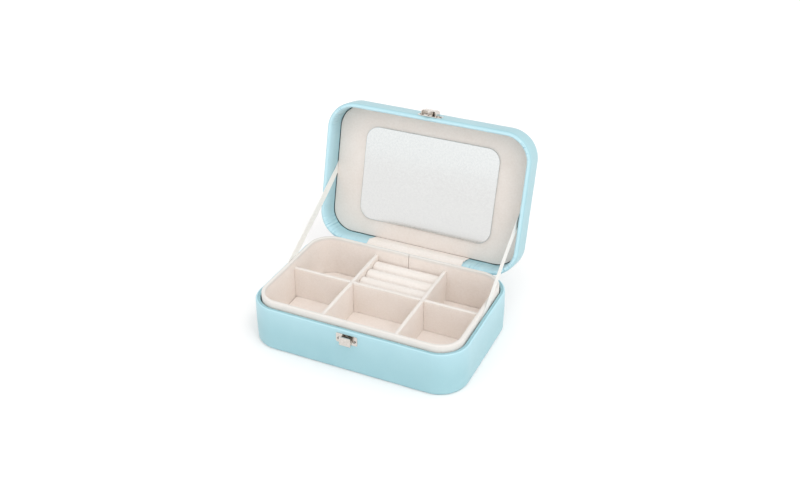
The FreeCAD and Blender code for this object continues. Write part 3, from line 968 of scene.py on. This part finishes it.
def ring_roll(which, seed):
    """A foam roll in velvet, its ends drawn in."""
    node = f"ring_roll_{which}"
    low, high = box_mm(node)
    middle_y, middle_z = (low.y + high.y) / 2, (low.z + high.z) / 2
    radius, end = (high.z - low.z) / 2, 1.6
    span = high.x - low.x
    nears = [0.0, 0.08, 0.25, 0.5, 0.9, end]
    places = nears + [end + (span - 2 * end) * i / 34 for i in range(1, 34)]
    places += [span - near for near in reversed(nears)]
    around = 72
    points = []
    for p in places:
        near = min(p, span - p)
        pulled = pulled_at(near, end)
        for j in range(around):
            a = 2 * math.pi * j / around
            x = low.x + p
            r = radius - pulled
            r += 0.06 * soft(x, 9 * math.cos(a), 9 * math.sin(a), 12, seed)
            r += 0.03 * soft(x, 6 * math.cos(a), 6 * math.sin(a), 2.2, seed + 1)
            r -= 0.08 * max(0.0, 1 - near / 3) * (math.sin(a * 13 + seed) * 0.5 + 0.5)
            points.append(Vector((x, middle_y + r * math.cos(a), middle_z + r * math.sin(a))))
    faces = grid_faces(len(places), around, wrap_columns=True)
    for ring, flip in ((0, False), (len(places) - 1, True)):
        at = low.x + places[ring]
        points.append(Vector((at, middle_y, middle_z)))
        faces += fan_faces([ring * around + j for j in range(around)], len(points) - 1, flip)
    piece = new_object(f"{node}_velvet", points, [tuple(reversed(f)) for f in faces])
    # painted shade: the whole roll a little greyer and darker
    mark(piece, "painted_shade", [0.3] * len(points))
    place(piece, "velvet", "base", node, padded=0.8)


def smooth_line(points, step):
    """A Catmull-Rom curve through (y, z) points, sampled about a step apart."""
    found = []
    for i in range(len(points) - 1):
        p0, p1, p2, p3 = (points[max(0, min(len(points) - 1, i + k))] for k in (-1, 0, 1, 2))
        count = max(1, math.ceil(math.dist(p1, p2) / step))
        for j in range(count):
            t = j / count
            found.append(tuple(
                b + t / 2 * (c - a + t * (2 * a - 5 * b + 4 * c - d + t * (3 * b - a - 3 * c + d)))
                for a, b, c, d in zip(p0, p1, p2, p3)
            ))
    return found + [tuple(points[-1])]


def swung(y, z):
    """Where a point (y, z) of the shut lid lies when the lid is open."""
    turned = SWING @ Vector((0, y, z))
    return turned.y, turned.z


def strip(name, line, left, right, thickness, ripple):
    """A sheet that follows a (y, z) line and runs along X, thinner at its cut ends."""
    rows = []
    columns = [left + (right - left) * j / 90 for j in range(91)]
    for side in (1, -1):
        sheet = []
        for i, (y, z) in enumerate(line):
            y0, z0 = line[max(i - 1, 0)]
            y1, z1 = line[min(i + 1, len(line) - 1)]
            length = math.hypot(y1 - y0, z1 - z0)
            ny, nz = -(z1 - z0) / length, (y1 - y0) / length
            row = []
            for x in columns:
                near = min(x - left, right - x)
                thin = min(1.0, 0.35 + near / 0.6)
                off = side * thickness / 2 * thin + ripple(x, i / (len(line) - 1))
                row.append(Vector((x, y + ny * off, z + nz * off)))
            sheet.append(row)
        rows += sheet if side == 1 else sheet[::-1]
    points = [p for row in rows for p in row]
    count, deep = len(columns), len(rows)
    faces = grid_faces(deep, count, wrap_rows=True)
    for j, flip in ((0, True), (count - 1, False)):
        for i in range(deep // 2 - 1):
            quad = tuple(row * count + j for row in (i, i + 1, deep - 2 - i, deep - 1 - i))
            faces.append(tuple(reversed(quad)) if flip else quad)
    return new_object(name, points, faces, sharp=70)


HINGE_STRIP, HINGE_LEATHER = 0.5, 0.6


def hinge_strip():
    """The velvet inside the hinge, from behind the tray over both rims to behind the panel."""
    low, high = box_mm("hinge_strip")
    base_y, lid_y = HALF_Y - WALL - 0.4, HALF_Y - LID_WALL - 0.4
    line = smooth_line([
        (base_y, RIM_Z - 10), (base_y, RIM_Z - 4), (base_y, RIM_Z - 0.5),
        (base_y + 0.6, RIM_Z + 0.5), (HALF_Y - 2.0, RIM_Z + 0.75), (HALF_Y - 0.7, RIM_Z + 0.45),
        (HALF_Y + 0.5, RIM_Z - 0.2), (HALF_Y + 1.5, RIM_Z + 0.85),
        swung(lid_y - 0.1, LID_LOW + 2.0), swung(lid_y - 1.3, LID_LOW + 4.3),
        swung(lid_y - 0.05, LID_LOW + 5.7), swung(lid_y - 0.6, LID_LOW + 8.0),
        swung(lid_y, PANEL_Z - 2), swung(lid_y + 0.35, PANEL_Z + 0.9),
    ], 0.5)

    def ripple(x, t):
        fold = 0.08 * soft(x, t * 40, 0, 4, 51) + 0.14 * soft(x / 4, t * 60, 0, 3, 52)
        return fold * min(1.0, 6 * t, 5 * (1 - t))

    piece = strip("hinge_strip_velvet", line, low.x, high.x, HINGE_STRIP, ripple)
    dress(piece, "velvet")
    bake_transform(piece)
    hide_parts("hinge_strip")
    long = sum(math.dist(a, b) for a, b in zip(line, line[1:]))


def hinge_leather():
    """The leather outside the hinge, glued to both backs and pressed in at its crease."""
    low, high = box_mm("hinge_leather")
    out = HALF_Y + HINGE_LEATHER / 2 + SIDE_SWELL
    line = smooth_line([
        (out, 20.0), (out, 26.0), (out, 30.6), (HALF_Y + 0.25, 32.2),
        (HINGE.y + 0.35, HINGE.z - 0.25), swung(HALF_Y + 0.25, LID_LOW + 1.0),
        swung(out, LID_LOW + 2.9), swung(out, 41.0), swung(out, 46.0),
    ], 0.4)

    def ripple(x, t):
        return 0.05 * soft(x, t * 40, 0, 6, 61)

    piece = strip("hinge_outer_leather", line, low.x, high.x, HINGE_LEATHER, ripple)
    dress(piece, "leather")
    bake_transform(piece)
    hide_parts("hinge_leather")
    long = sum(math.dist(a, b) for a, b in zip(line, line[1:]))


tray_wall()
tray_floor()
dividers()
for seed, which in enumerate(("front", "middle", "back")):
    ring_roll(which, 71 + 3 * seed)
lid_panel()
hinge_strip()
hinge_leather()


# ---- metal, glass and board: CAD nodes with finishes ---------------------------------------
SPRING_COIL, SPRING_WIRE, SPRING_TURNS = 0.78, 0.14, 9   # two radii and a count


def clasp_spring():
    """The wound torsion spring round the lever's pin, with a leg on the lever and one behind."""
    pin = Vector(joints["clasp_press"]["pos_m"]) / MM
    half = box_mm("clasp_spring")[1].x - SPRING_WIRE
    steps = 20
    line = [Vector((-half, pin.y - SPRING_COIL - SPRING_WIRE, 24.5))]
    for i in range(SPRING_TURNS * steps + 1):
        a = math.pi + 2 * math.pi * i / steps
        x = -half + 2 * half * i / (SPRING_TURNS * steps)
        line.append(Vector((x, pin.y, pin.z)) + Vector((0, math.cos(a), math.sin(a))) * SPRING_COIL)
    line.append(Vector((half, -HALF_Y - 0.7, pin.z + 0.6)))
    points, around = [], 8
    for i, centre in enumerate(line):
        along = heading(line, i)
        side = along.cross(Vector((0.2, 0.3, 1))).normalized()
        up = along.cross(side)
        for j in range(around):
            a = 2 * math.pi * j / around
            points.append(centre + (side * math.cos(a) + up * math.sin(a)) * SPRING_WIRE)
    faces = grid_faces(len(line), around, wrap_columns=True)
    faces.append(tuple(reversed(range(around))))
    faces.append(tuple(range((len(line) - 1) * around, len(line) * around)))
    piece = new_object("clasp_spring_wire", points, faces)
    dress(piece, "nickel")
    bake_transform(piece)
    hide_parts("clasp_spring")


clasp_spring()

# CAD nodes that show in their own shape, by their material
KEPT = {
    "mirror": ["mirror"],
    "board": ["base_board", "lid_board"],
    "foam": ["lid_padding"],
    "leather": ["base_bottom_sheet"],
    "velvet": ["ring_pad_base"],
    "nickel": ["clasp_plate", "clasp_lever", "clasp_pin", "catch_plate", "catch_hook"],
    "nails": ["clasp_nails", "catch_nails"],
}
for slot, nodes in KEPT.items():
    for node in nodes:
        piece = frame["nodes"][node]
        piece.data.materials.clear()
        piece.data.materials.append(MATERIALS[slot])
        if slot in ("nickel", "nails"):
            bevel = piece.modifiers.new("worn_edges", "BEVEL")
            bevel.width, bevel.segments = 0.1 * MM, 2
            bevel.limit_method, bevel.angle_limit = "ANGLE", math.radians(40)
            bevel.harden_normals = False


# ---- floor and light -----------------------------------------------------------------------
def make_floor():
    bpy.ops.mesh.primitive_plane_add(size=30)
    floor = bpy.context.object
    floor.name = "floor"
    floor.data.materials.append(floor_material())


WORLD_LEAN, WORLD_LEVEL = (0.14, -0.1, -0.30), 1.20   # brighter to the right and from below
LIGHT_TRAVELS = Vector((-0.42, 0.30, -0.86))
SUNS = {"key": (0.46, 60), "shine": (0.24, 9)}   # strength, and width in degrees


def make_light():
    """A pale world, a wide soft light, and a small one from the same side for the edges' shine."""
    world = bpy.data.worlds.new("studio")
    bpy.context.scene.world = world
    world.use_nodes = True
    tree = world.node_tree
    direction = tree.nodes.new("ShaderNodeTexCoord").outputs["Generated"]
    lean = tree.nodes.new("ShaderNodeVectorMath")
    lean.operation = "DOT_PRODUCT"
    tree.links.new(direction, lean.inputs[0])
    lean.inputs[1].default_value = WORLD_LEAN
    level = tree.nodes.new("ShaderNodeMath")
    level.operation = "ADD"
    tree.links.new(lean.outputs["Value"], level.inputs[0])
    level.inputs[1].default_value = WORLD_LEVEL
    tree.links.new(level.outputs["Value"], tree.nodes["Background"].inputs["Color"])
    tree.nodes["Background"].inputs["Strength"].default_value = 1.0
    for name, (energy, spread) in SUNS.items():
        data = bpy.data.lights.new(name, "SUN")
        data.energy, data.angle = energy, math.radians(spread)
        light = bpy.data.objects.new(name, data)
        bpy.context.scene.collection.objects.link(light)
        light.rotation_euler = LIGHT_TRAVELS.to_track_quat("-Z", "Y").to_euler()
    bpy.context.scene.view_settings.view_transform = "Standard"


make_floor()
make_light()
